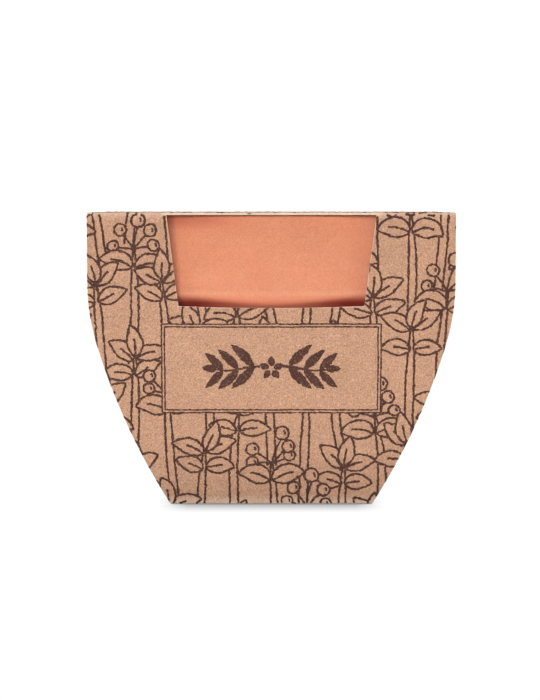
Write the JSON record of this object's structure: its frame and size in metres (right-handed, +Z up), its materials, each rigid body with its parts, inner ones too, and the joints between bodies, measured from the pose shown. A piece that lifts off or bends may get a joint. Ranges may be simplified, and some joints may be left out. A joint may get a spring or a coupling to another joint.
{
  "type": "clay pot seed kit in card sleeve",
  "caption": "Small unglazed clay pot with a rim band, held in a folded kraft card sleeve with a window front and back, with a growing tablet and a seed sachet inside.",
  "frame": {"origin": "centre of the base, on the surface that the sleeve stands on", "axes": "+Z up, -Y out of the front panel, +X across the panels"},
  "size_m": [0.087, 0.0816, 0.07],
  "materials": {
    "kraft_card": "uncoated brown kraft card with dark brown line print",
    "clay": "matt unglazed fired clay",
    "growing_medium": "compressed plant fibre",
    "sachet_paper": "matt uncoated paper"
  },
  "bodies": {
    "root": {"sleeve": "kraft_card", "pot": "clay", "soil_tablet": "growing_medium", "seed_sachet": "sachet_paper"}
  },
  "joints": []
}
